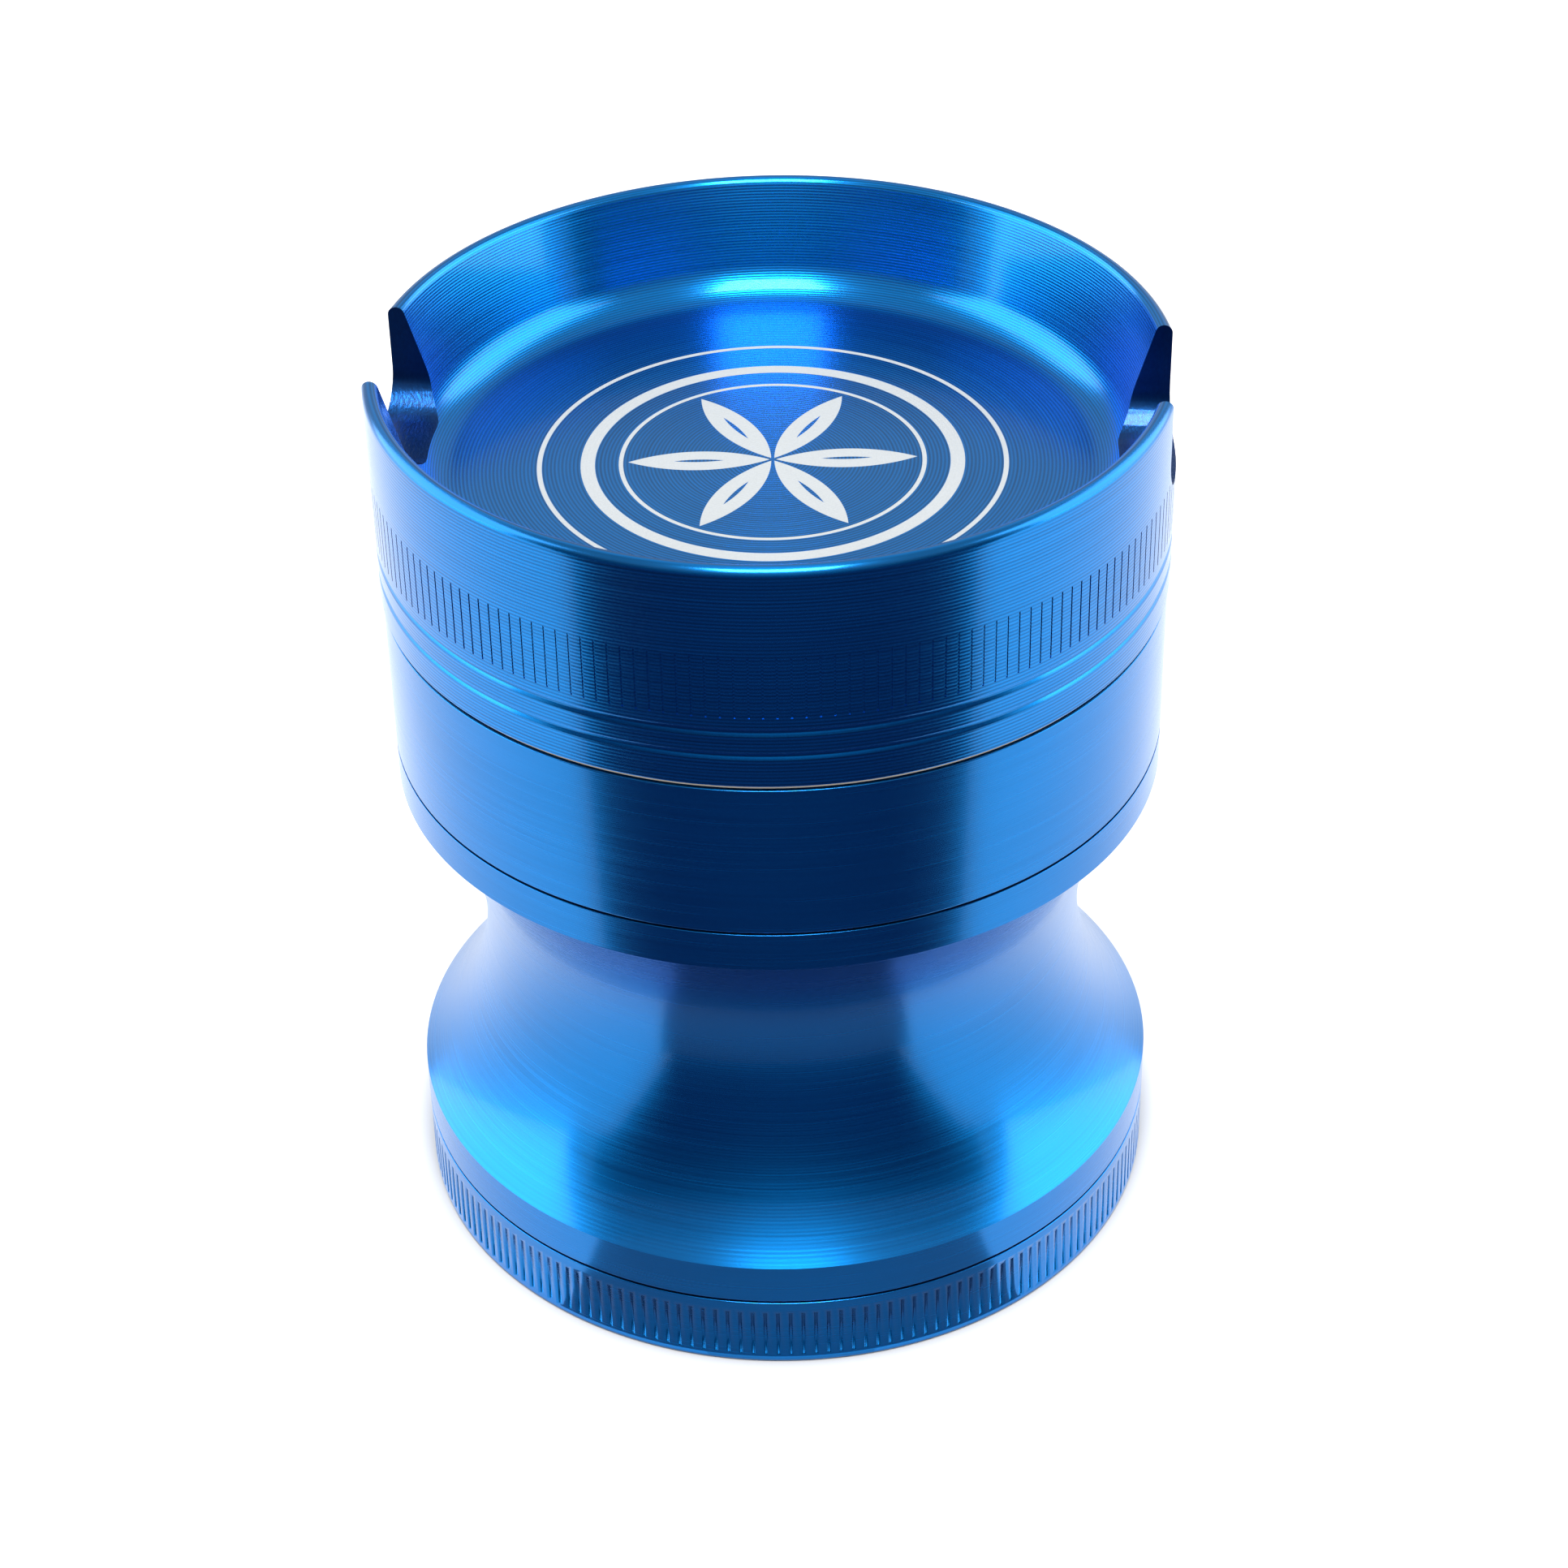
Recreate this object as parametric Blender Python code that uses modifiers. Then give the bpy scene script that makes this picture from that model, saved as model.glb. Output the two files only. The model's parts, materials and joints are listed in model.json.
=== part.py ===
"""Hourglass herb grinder with an ashtray lid, anodised aluminium.

Four turned stages stand on one axis: the base cup, the waisted storage body, the grinding
chamber and the ashtray lid. The body screws into the base and the chamber screws into the
body. The lid only drops over the chamber's lip, where a magnet holds it and it turns freely.

Metres, +Z up. The origin is the centre of the flat underside.
"""
import math

import bmesh
import bpy
from mathutils import Matrix

COLLECTION = "hourglass_herb_grinder"

# Facets round every turned piece, and along each curved stretch of an outline.
FACETS = 60
WAIST_STEPS = 10
FILLET_STEPS = 4
HOLE_FACETS = 8

# Outer radii.
LID_RADIUS = 0.0315
BODY_RADIUS = 0.03135
NECK_RADIUS = 0.0251

# Heights of the outside seams and edges above the table.
BASE_SEAM = 0.00663
FLARE_BOTTOM = 0.01035
FLARE_TOP = 0.04115
BODY_SEAM = 0.0445
LID_TOP = 0.07685

# Clearances: between two stacked faces, and round a piece that sits in a bore.
SEAM_GAP = 0.0002
BORE_GAP = 0.0003
EDGE_CHAMFER = 0.0003

# Threads, as plain cylinders at the crest of the male and of the female thread.
MALE_CREST = 0.0280
FEMALE_CREST = 0.0284
SKIRT_BORE = 0.0262
BASE_SKIRT_BOTTOM = 0.00365
CHAMBER_SKIRT_BOTTOM = 0.0406
BODY_BORE_BOTTOM = 0.0399

# Base cup.
BASE_FLOOR = 0.0015
BASE_CUP_RADIUS = 0.0272
BASE_CUP_FILLET = 0.0014
BASE_BORE_BOTTOM = BASE_FLOOR + BASE_CUP_FILLET

# Storage body, screen and the ring that holds the screen up against its seat.
WAIST_WALL = 0.0032
STORAGE_FOOT_RADIUS = 0.0244
SCREEN_SEAT = 0.0085
SCREEN_THICKNESS = 0.00025
RETAINER_HEIGHT = 0.0012
RETAINER_INNER_RADIUS = 0.0246

# Grinding chamber.
CHAMBER_FLOOR = 0.0471
CHAMBER_UNDERSIDE = 0.0446
CHAMBER_RADIUS = 0.0269
CHAMBER_CORNER = 0.0010
LIP_RADIUS = 0.0289
LIP_TOP = 0.0629
SHOULDER = 0.05775
POST_RADIUS = 0.0050
POST_FLARE = 0.0004
POST_TOP = 0.0558
POST_POCKET_BOTTOM = 0.0511
FRICTION_RING_HEIGHT = 0.00025
FRICTION_RING_GAP = 0.0001
FRICTION_RING_INSET = 0.0002

# Magnets, in the post and in the lid's boss.
MAGNET_RADIUS = 0.0030
MAGNET_HEIGHT = 0.0020
MAGNET_SETBACK = 0.0001

# Lid: the ashtray bowl above, the grinding face below.
BOWL_FLOOR = 0.0674
BOWL_FLOOR_RADIUS = 0.0250
BOWL_FILLET = 0.0035
BOWL_DRAFT = math.radians(16.0)
RIM_ROUND = 0.00065
LID_BOTTOM = 0.0582
LID_FACE = 0.0632
LID_BORE = 0.0292
BOSS_BOTTOM = 0.0562
BOSS_POCKET_TOP = 0.0585
RING_GROOVES = (0.06299, 0.06092)
RING_GROOVE_WIDTH = 0.0007
RING_GROOVE_DEPTH = 0.0003

# Cigarette rests: one slot milled straight across the rim.
REST_WIDTH = 0.0120
REST_FLOOR = 0.0681
REST_CORNER = 0.0035
REST_TURN = math.radians(-5.3)

# Teeth: diamond pegs in rings that pass between each other.
TOOTH_HALF_DEPTH = 0.00145
TOOTH_HALF_WIDTH = 0.0022
TOOTH_ROOT = 0.0005
LID_TOOTH_TIP = 0.0490
CHAMBER_TOOTH_TIP = 0.0606
LID_TOOTH_ROWS = ((0.0246, 14), (0.0179, 10), (0.0112, 6))
CHAMBER_TOOTH_ROWS = ((0.02125, 12), (0.01455, 8))
DROP_HOLE_ROWS = ((0.0246, 16), (0.0179, 10), (0.0112, 6))
DROP_HOLE_RADIUS = 0.0018

BLUE = (0.010, 0.085, 0.420)
DEEP_BLUE = (0.008, 0.070, 0.360)


def clear_scene():
    for item in list(bpy.data.objects):
        bpy.data.objects.remove(item, do_unlink=True)


def new_collection(name):
    collection = bpy.data.collections.new(name)
    bpy.context.scene.collection.children.link(collection)
    return collection


def make_material(name, colour, roughness, metallic):
    material = bpy.data.materials.new(name)
    material.use_nodes = True
    shader = material.node_tree.nodes["Principled BSDF"]
    shader.inputs["Base Color"].default_value = (*colour, 1.0)
    shader.inputs["Roughness"].default_value = roughness
    shader.inputs["Metallic"].default_value = metallic
    material.diffuse_color = (*colour, 1.0)
    return material


def add_object(name, mesh, collection):
    item = bpy.data.objects.new(name, mesh)
    collection.objects.link(item)
    return item


def arc(centre_r, centre_z, radius, start, end, steps):
    """Points (r, z) round a circle in the outline's plane, both ends included."""
    points = []
    for step in range(steps + 1):
        angle = start + (end - start) * step / steps
        points.append((centre_r + radius * math.cos(angle), centre_z + radius * math.sin(angle)))
    return points


def turned(name, outline, material, collection, closed=False):
    """Solid of revolution. The outline runs down its outer side and ends on the axis, or closes."""
    mesh = bpy.data.meshes.new(name)
    edges = [(index, index + 1) for index in range(len(outline) - 1)]
    if closed:
        edges.append((len(outline) - 1, 0))
    mesh.from_pydata([(r, 0.0, z) for r, z in outline], edges, [])
    item = add_object(name, mesh, collection)
    screw = item.modifiers.new("turn", "SCREW")
    screw.angle = 2.0 * math.pi
    screw.steps = FACETS
    screw.render_steps = FACETS
    screw.use_merge_vertices = True
    screw.merge_threshold = 0.00001
    screw.use_smooth_shade = True
    if material:
        mesh.materials.append(material)
    return item


def peg_rings(name, rows, bottom, top, sides, radius_pair, offset, collection):
    """Rings of upright prisms; radius_pair is the prism's half size outwards and sideways."""
    mesh = bpy.data.meshes.new(name)
    shape = bmesh.new()
    for ring_radius, count in rows:
        for index in range(count):
            turn = Matrix.Rotation(2.0 * math.pi * (index + offset) / count, 4, "Z")
            place = Matrix.Translation((ring_radius, 0.0, (bottom + top) / 2.0))
            stretch = Matrix.Diagonal((radius_pair[0], radius_pair[1], 1.0, 1.0))
            bmesh.ops.create_cone(
                shape, cap_ends=True, segments=sides, radius1=1.0, radius2=1.0,
                depth=top - bottom, matrix=turn @ place @ stretch)
    shape.to_mesh(mesh)
    shape.free()
    return guide_object(name, mesh, collection)


def guide_object(name, mesh, collection):
    item = add_object(name, mesh, collection)
    item.hide_render = True
    item.display_type = "WIRE"
    return item


def slot_cutter(name, collection):
    """A bar across the whole lid with its two lower edges rounded."""
    height = LID_TOP - REST_FLOOR + 2.0 * REST_CORNER
    mesh = bpy.data.meshes.new(name)
    shape = bmesh.new()
    size = Matrix.Diagonal((2.4 * LID_RADIUS, REST_WIDTH, height, 1.0))
    bmesh.ops.create_cube(shape, size=1.0, matrix=size)
    lower = [edge for edge in shape.edges
             if all(vert.co.z < 0.0 for vert in edge.verts)
             and abs(edge.verts[0].co.x - edge.verts[1].co.x) > LID_RADIUS]
    bmesh.ops.bevel(shape, geom=lower, offset=REST_CORNER, segments=FILLET_STEPS,
                    profile=0.5, affect="EDGES")
    shape.to_mesh(mesh)
    shape.free()
    item = guide_object(name, mesh, collection)
    item.location.z = REST_FLOOR + height / 2.0
    item.rotation_euler.z = REST_TURN
    return item


def combine(item, other, operation):
    boolean = item.modifiers.new(other.name, "BOOLEAN")
    boolean.operation = operation
    boolean.solver = "EXACT"
    boolean.object = other


def make_base(material, collection):
    """Shallow cup with a female thread inside its rim; it is the part that stands on the table."""
    fillet_r = BASE_CUP_RADIUS - BASE_CUP_FILLET
    top = BASE_SEAM - SEAM_GAP / 2.0
    outline = [(0.0, BASE_FLOOR)]
    outline += arc(fillet_r, BASE_FLOOR + BASE_CUP_FILLET, BASE_CUP_FILLET, -math.pi / 2.0, 0.0, 2)
    outline += [
        (FEMALE_CREST, BASE_BORE_BOTTOM),
        (FEMALE_CREST, top),
        (BODY_RADIUS - EDGE_CHAMFER, top),
        (BODY_RADIUS, top - EDGE_CHAMFER),
        (BODY_RADIUS, EDGE_CHAMFER),
        (BODY_RADIUS - EDGE_CHAMFER, 0.0),
        (0.0, 0.0),
    ]
    return turned("base", outline, material, collection)


def make_body(material, collection):
    """Waisted tube: band, concave waist and band outside, storage space and screen seat inside."""
    middle = (FLARE_BOTTOM + FLARE_TOP) / 2.0
    half = (FLARE_TOP - FLARE_BOTTOM) / 2.0
    depth = BODY_RADIUS - NECK_RADIUS
    waist = (half * half + depth * depth) / (2.0 * depth)
    centre = NECK_RADIUS + waist
    spread = math.asin(half / waist)
    inner = waist + WAIST_WALL
    foot = math.acos((centre - STORAGE_FOOT_RADIUS) / inner)
    shelf = math.asin((BODY_BORE_BOTTOM - middle) / inner)
    outside = arc(centre, middle, waist, math.pi - spread, math.pi + spread, WAIST_STEPS)
    inside = arc(centre, middle, inner, math.pi + foot, math.pi - shelf, WAIST_STEPS)
    outline = [
        (FEMALE_CREST, BODY_SEAM - SEAM_GAP / 2.0),
        (BODY_RADIUS - EDGE_CHAMFER, BODY_SEAM - SEAM_GAP / 2.0),
        (BODY_RADIUS, BODY_SEAM - SEAM_GAP / 2.0 - EDGE_CHAMFER),
    ]
    outline += outside
    outline += [
        (BODY_RADIUS, BASE_SEAM + SEAM_GAP / 2.0 + EDGE_CHAMFER),
        (BODY_RADIUS - EDGE_CHAMFER, BASE_SEAM + SEAM_GAP / 2.0),
        (MALE_CREST, BASE_SEAM + SEAM_GAP / 2.0),
        (MALE_CREST, BASE_SKIRT_BOTTOM),
        (SKIRT_BORE, BASE_SKIRT_BOTTOM),
        (SKIRT_BORE, SCREEN_SEAT),
        (STORAGE_FOOT_RADIUS, SCREEN_SEAT),
    ]
    outline += inside
    outline.append((FEMALE_CREST, BODY_BORE_BOTTOM))
    return turned("hourglass_body", outline, material, collection, closed=True)


def make_screen(material, collection):
    """The woven pollen screen, as a plain thin disc."""
    radius = SKIRT_BORE - BORE_GAP
    top = SCREEN_SEAT - SEAM_GAP
    bottom = top - SCREEN_THICKNESS
    outline = [(0.0, top), (radius, top), (radius, bottom), (0.0, bottom)]
    return turned("screen", outline, material, collection)


def make_retainer(material, collection):
    """Plain ring pressed into the skirt under the screen."""
    top = SCREEN_SEAT - 2.0 * SEAM_GAP - SCREEN_THICKNESS
    radius = SKIRT_BORE - BORE_GAP
    outline = [
        (radius, top),
        (radius, top - RETAINER_HEIGHT),
        (RETAINER_INNER_RADIUS, top - RETAINER_HEIGHT),
        (RETAINER_INNER_RADIUS, top),
    ]
    return turned("screen_retainer", outline, material, collection, closed=True)


def make_chamber(material, collection, cutters):
    """Grinding stage: threaded skirt, drilled floor, teeth, centre post and the lip for the lid."""
    pocket = MAGNET_RADIUS + BORE_GAP
    outline = [
        (0.0, POST_POCKET_BOTTOM),
        (pocket, POST_POCKET_BOTTOM),
        (pocket, POST_TOP),
        (POST_RADIUS, POST_TOP),
        (POST_RADIUS + POST_FLARE, CHAMBER_FLOOR),
        (CHAMBER_RADIUS - CHAMBER_CORNER, CHAMBER_FLOOR),
        (CHAMBER_RADIUS, CHAMBER_FLOOR + CHAMBER_CORNER),
        (CHAMBER_RADIUS, LIP_TOP),
        (LIP_RADIUS - EDGE_CHAMFER, LIP_TOP),
        (LIP_RADIUS, LIP_TOP - EDGE_CHAMFER),
        (LIP_RADIUS, SHOULDER),
        (BODY_RADIUS, SHOULDER),
        (BODY_RADIUS, CHAMBER_UNDERSIDE + EDGE_CHAMFER),
        (BODY_RADIUS - EDGE_CHAMFER, CHAMBER_UNDERSIDE),
        (MALE_CREST, CHAMBER_UNDERSIDE),
        (MALE_CREST, CHAMBER_SKIRT_BOTTOM),
        (SKIRT_BORE, CHAMBER_SKIRT_BOTTOM),
        (SKIRT_BORE, CHAMBER_UNDERSIDE),
        (0.0, CHAMBER_UNDERSIDE),
    ]
    chamber = turned("grinding_chamber", outline, material, collection)
    teeth = peg_rings(
        "chamber_teeth", CHAMBER_TOOTH_ROWS, CHAMBER_FLOOR - TOOTH_ROOT, CHAMBER_TOOTH_TIP,
        4, (TOOTH_HALF_DEPTH, TOOTH_HALF_WIDTH), 0.0, cutters)
    holes = peg_rings(
        "drop_holes", DROP_HOLE_ROWS, CHAMBER_UNDERSIDE - TOOTH_ROOT, CHAMBER_FLOOR + TOOTH_ROOT,
        HOLE_FACETS, (DROP_HOLE_RADIUS, DROP_HOLE_RADIUS), 0.5, cutters)
    combine(chamber, teeth, "UNION")
    combine(chamber, holes, "DIFFERENCE")
    return chamber


def make_friction_ring(material, collection):
    """Thin nylon washer on the chamber's shoulder, just visible in the seam under the lid."""
    top = SHOULDER + FRICTION_RING_GAP + FRICTION_RING_HEIGHT
    outer = BODY_RADIUS - FRICTION_RING_INSET
    outline = [
        (outer, top),
        (outer, top - FRICTION_RING_HEIGHT),
        (LID_BORE, top - FRICTION_RING_HEIGHT),
        (LID_BORE, top),
    ]
    return turned("friction_ring", outline, material, collection, closed=True)


def make_magnet(name, top, material, collection):
    bottom = top - MAGNET_HEIGHT
    outline = [(0.0, top), (MAGNET_RADIUS, top), (MAGNET_RADIUS, bottom), (0.0, bottom)]
    return turned(name, outline, material, collection)


def ring_groove(height):
    """Outline of one decorative groove in the lid's side, running down."""
    half = RING_GROOVE_WIDTH / 2.0
    floor = LID_RADIUS - RING_GROOVE_DEPTH
    return [
        (LID_RADIUS, height + half),
        (floor, height + half / 2.0),
        (floor, height - half / 2.0),
        (LID_RADIUS, height - half),
    ]


def make_lid(material, collection, cutters):
    """Ashtray lid: bowl with a rounded rim above, recess with teeth and magnet boss below."""
    pocket = MAGNET_RADIUS + BORE_GAP
    rim_inner = LID_RADIUS - RIM_ROUND
    rim_z = LID_TOP - RIM_ROUND
    outline = [(0.0, BOWL_FLOOR)]
    outline += arc(BOWL_FLOOR_RADIUS, BOWL_FLOOR + BOWL_FILLET, BOWL_FILLET,
                   -math.pi / 2.0, -BOWL_DRAFT, FILLET_STEPS)
    outline += arc(rim_inner, rim_z, RIM_ROUND, math.pi - BOWL_DRAFT, 0.0, FILLET_STEPS)
    for height in RING_GROOVES:
        outline += ring_groove(height)
    outline += [
        (LID_RADIUS, LID_BOTTOM + EDGE_CHAMFER),
        (LID_RADIUS - EDGE_CHAMFER, LID_BOTTOM),
        (LID_BORE, LID_BOTTOM),
        (LID_BORE, LID_FACE),
        (POST_RADIUS, LID_FACE),
        (POST_RADIUS, BOSS_BOTTOM),
        (pocket, BOSS_BOTTOM),
        (pocket, BOSS_POCKET_TOP),
        (0.0, BOSS_POCKET_TOP),
    ]
    lid = turned("ashtray_lid", outline, material, collection)
    teeth = peg_rings(
        "lid_teeth", LID_TOOTH_ROWS, LID_TOOTH_TIP, LID_FACE + TOOTH_ROOT,
        4, (TOOTH_HALF_DEPTH, TOOTH_HALF_WIDTH), 0.5, cutters)
    combine(lid, teeth, "UNION")
    combine(lid, slot_cutter("rest_slot", cutters), "DIFFERENCE")
    return lid


def main():
    clear_scene()
    parts = new_collection(COLLECTION)
    cutters = new_collection("cutters")
    make_base(make_material("base_anodised", DEEP_BLUE, 0.28, 1.0), parts)
    make_body(make_material("body_anodised", BLUE, 0.24, 1.0), parts)
    make_screen(make_material("screen_steel", (0.55, 0.55, 0.56), 0.35, 1.0), parts)
    make_retainer(make_material("retainer_steel", (0.62, 0.62, 0.63), 0.30, 1.0), parts)
    make_chamber(make_material("chamber_anodised", BLUE, 0.24, 1.0), parts, cutters)
    make_friction_ring(make_material("ring_nylon", (0.62, 0.60, 0.56), 0.55, 0.0), parts)
    magnet_tops = {
        "chamber_magnet": POST_TOP - MAGNET_SETBACK,
        "lid_magnet": BOSS_BOTTOM + MAGNET_SETBACK + MAGNET_HEIGHT,
    }
    for name, top in magnet_tops.items():
        make_magnet(name, top, make_material(name + "_nickel", (0.66, 0.65, 0.63), 0.20, 1.0), parts)
    make_lid(make_material("lid_anodised", BLUE, 0.22, 1.0), parts, cutters)


main()
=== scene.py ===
# %% [markdown]
# # An hourglass herb grinder with an ashtray lid
#
# The grinder is four turned pieces of blue anodised aluminium on one axis: a base cup, a waisted
# storage body, a grinding chamber and a lid whose top is an ashtray. Almost everything on it was
# cut on a lathe, so almost everything here starts the same way: half of the piece's section is
# drawn as a line beside the axis, and the line is spun round. What a mill or an engraver did
# afterwards is then cut or coloured on top, in the order the workshop would use.

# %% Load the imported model
import json
import math

import bpy
from mathutils import Matrix, Vector

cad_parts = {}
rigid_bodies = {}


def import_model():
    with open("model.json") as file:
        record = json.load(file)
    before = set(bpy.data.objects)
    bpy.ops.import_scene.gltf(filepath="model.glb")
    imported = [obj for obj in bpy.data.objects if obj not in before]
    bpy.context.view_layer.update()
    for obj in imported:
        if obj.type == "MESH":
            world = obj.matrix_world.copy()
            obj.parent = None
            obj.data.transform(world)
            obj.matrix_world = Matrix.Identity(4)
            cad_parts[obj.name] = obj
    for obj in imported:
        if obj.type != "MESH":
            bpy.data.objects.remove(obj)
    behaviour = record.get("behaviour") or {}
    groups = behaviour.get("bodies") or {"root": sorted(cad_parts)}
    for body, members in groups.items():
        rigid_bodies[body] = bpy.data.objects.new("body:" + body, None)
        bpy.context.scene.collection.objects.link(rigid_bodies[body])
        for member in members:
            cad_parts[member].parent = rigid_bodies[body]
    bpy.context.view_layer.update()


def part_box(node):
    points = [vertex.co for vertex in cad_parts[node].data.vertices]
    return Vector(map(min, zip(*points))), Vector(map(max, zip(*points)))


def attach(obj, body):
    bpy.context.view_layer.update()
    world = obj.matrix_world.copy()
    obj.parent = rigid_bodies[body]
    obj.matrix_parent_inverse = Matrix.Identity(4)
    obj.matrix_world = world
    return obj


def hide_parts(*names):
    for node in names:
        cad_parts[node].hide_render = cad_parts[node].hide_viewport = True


for leftover in list(bpy.data.objects):
    bpy.data.objects.remove(leftover, do_unlink=True)
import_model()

# %% [markdown]
# ## Sizes
#
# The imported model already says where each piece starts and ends, so the main radii and heights
# are read from its boxes. All work is in millimetres, which suit a piece this small, and every
# helper turns them into Blender's metres at the last moment.

# %% Read the main sizes
MM = 0.001


def span(node):
    """Outer radius, lowest and highest point of a CAD node, in millimetres."""
    low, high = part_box(node)
    return high[0] / MM, low[2] / MM, high[2] / MM


LID_R, _, LID_TOP = span("ashtray_lid")
BODY_R, SKIRT_LOW, BODY_TOP = span("hourglass_body")
BASE_R, TABLE, BASE_TOP = span("base")
CHAMBER_R, CHAMBER_SKIRT_LOW, _ = span("grinding_chamber")
LID_BORE, LID_FACE, LID_FOOT = 29.2, 63.2, 58.2
BOWL_FLOOR = 67.4
CHAMBER_UNDER, CHAMBER_FLOOR, SHOULDER, LIP_TOP = 44.6, 47.1, 57.75, 62.9
SKIRT_BORE, SCREEN_SEAT, BODY_SEAT = 26.2, 8.5, 39.9
MALE_CREST, MALE_ROOT, FEMALE_CREST, FEMALE_ROOT = 28.0, 27.3, 28.4, 29.0
print(f"lid radius {LID_R:.2f} mm, top {LID_TOP:.2f} mm, body radius {BODY_R:.2f} mm")

# %% [markdown]
# ## The camera
#
# The camera comes first, so that everything after it can be looked at from the right place. It
# stands about 30 cm away and looks down at 35 degrees through a long lens, aimed at a point close
# to the axis just below half height. A very slight roll is kept, as a hand-levelled tripod has.

# %% Place the camera
VIEW_TARGET = Vector((0.356 * MM, 0.0, 36.06 * MM))
VIEW_DISTANCE = 300.36 * MM
VIEW_ELEVATION = math.radians(35.48)
VIEW_ROLL = math.radians(-1.179)
VIEW_LENS = 82.47

toward_camera = Vector((0.0, -math.cos(VIEW_ELEVATION), math.sin(VIEW_ELEVATION)))
turned_down = Matrix.Rotation(math.pi / 2.0 - VIEW_ELEVATION, 4, "X")
rolled = turned_down @ Matrix.Rotation(VIEW_ROLL, 4, "Z")
bpy.ops.object.camera_add(location=VIEW_TARGET + toward_camera * VIEW_DISTANCE,
                          rotation=rolled.to_euler())
camera = bpy.context.object
camera.name = "studio_camera"
camera.data.lens = VIEW_LENS
camera.data.clip_start = 0.01
bpy.context.scene.camera = camera
print("camera at", [round(value / MM, 1) for value in camera.location], "mm")

# %% [markdown]
# ## Turning on the lathe
#
# A turned piece is drawn as a line of corners in the XZ plane, each a radius and a height. A
# corner with a third number is rounded by an arc of that radius, because no machined edge is
# perfectly sharp, and it is the small rounded edge that catches the light. Each arc is fenced by
# a holding point on either side, so that the smooth shading of the arc doesn't creep over the
# flat faces next to it.

# %% Draw a rounded outline
def outline(corners, steps=3, hold=0.5):
    """Points along a line of (r, z) or (r, z, radius) corners, with the rounded ones replaced by arcs."""
    path = []
    for index, corner in enumerate(corners):
        here = Vector(corner[:2])
        if len(corner) == 2:
            path.append(here)
            continue
        back = (Vector(corners[index - 1][:2]) - here).normalized()
        ahead = (Vector(corners[(index + 1) % len(corners)][:2]) - here).normalized()
        half = back.angle(ahead) / 2.0
        radius = corner[2]
        reach = radius / math.tan(half)
        centre = here + (back + ahead).normalized() * (radius / math.sin(half))
        first, last = here + back * reach - centre, here + ahead * reach - centre
        path.append(here + back * (reach + hold * radius))
        swing = math.atan2(first.cross(last), first.dot(last))
        path += [centre + Matrix.Rotation(swing * step / steps, 2) @ first for step in range(steps + 1)]
        path.append(here + ahead * (reach + hold * radius))
    return path


def arc(centre_r, centre_z, radius, start, end, steps):
    """Points round a circle in the section, from one angle to another in degrees."""
    angles = [math.radians(start + (end - start) * step / steps) for step in range(steps + 1)]
    return [(centre_r + radius * math.cos(angle), centre_z + radius * math.sin(angle))
            for angle in angles]


# %% [markdown]
# The line is made as by hand: a plane is merged into one vertex at the first corner, the vertex
# is extruded from corner to corner, and the whole line is spun once round the axis. Spin leaves a
# doubled seam and, where the line touches the axis, a pile of vertices, so doubles are merged and
# the normals are recalculated before anything else is done. Every finished piece keeps its
# object at the world's origin, with its place in its mesh. The spin's steps are also what the grip
# slots are cut into later, one slot to a facet, so there are as many facets as there are slots.

# %% Spin an outline into a piece
FACETS, SHARP = 190, 32.0


def deselect():
    """Leave nothing selected, so that the next operator touches only what it should."""
    if bpy.context.object and bpy.context.object.mode != "OBJECT":
        bpy.ops.object.mode_set(mode="OBJECT")
    bpy.ops.object.select_all(action="DESELECT")


def pick(*pieces):
    """Select these pieces alone and make the first of them the active one."""
    deselect()
    for piece in pieces:
        piece.select_set(True)
    bpy.context.view_layer.objects.active = pieces[0]


def smooth(piece):
    """Smooth shading that keeps the sharp edges."""
    pick(piece)
    bpy.ops.object.shade_smooth_by_angle(angle=math.radians(SHARP), keep_sharp_edges=False)


def turn(name, path, closed=False, facets=FACETS):
    """Extrude a line through the path's points and spin it once round the axis."""
    deselect()
    start = Vector(path[0])
    bpy.ops.mesh.primitive_plane_add(size=MM, location=(start.x * MM, 0.0, start.y * MM))
    piece = bpy.context.object
    piece.name = piece.data.name = name
    bpy.ops.object.transform_apply(location=True)
    bpy.ops.object.mode_set(mode="EDIT")
    bpy.ops.mesh.select_mode(type="VERT")
    bpy.ops.mesh.select_all(action="SELECT")
    bpy.ops.mesh.merge(type="CENTER")
    loop = list(path[1:]) + ([path[0]] if closed else [])
    for point in loop:
        step = (Vector(point) - start) * MM
        bpy.ops.mesh.extrude_vertices_move(TRANSFORM_OT_translate={"value": (step.x, 0.0, step.y)})
        start = Vector(point)
    bpy.ops.mesh.select_all(action="SELECT")
    bpy.ops.mesh.spin(steps=facets, angle=2.0 * math.pi, center=(0.0, 0.0, 0.0), axis=(0.0, 0.0, 1.0))
    bpy.ops.mesh.select_all(action="SELECT")
    bpy.ops.mesh.remove_doubles(threshold=0.002 * MM)
    bpy.ops.mesh.normals_make_consistent(inside=False)
    bpy.ops.object.mode_set(mode="OBJECT")
    smooth(piece)
    return piece


def report(piece):
    """Print a piece's triangles and its box."""
    faces = sum(len(face.vertices) - 2 for face in piece.data.polygons)
    size = [round(value / MM, 2) for value in piece.dimensions]
    print(f"{piece.name}: {faces} triangles, {size} mm")


# %% [markdown]
# ## Picking edges and faces
#
# Editing by hand starts with a selection. Here a small test says which edges or faces are wanted,
# by where they are and how they face, in millimetres. The selection is set in object mode and
# used in edit mode, where the helper leaves the piece.

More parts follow.
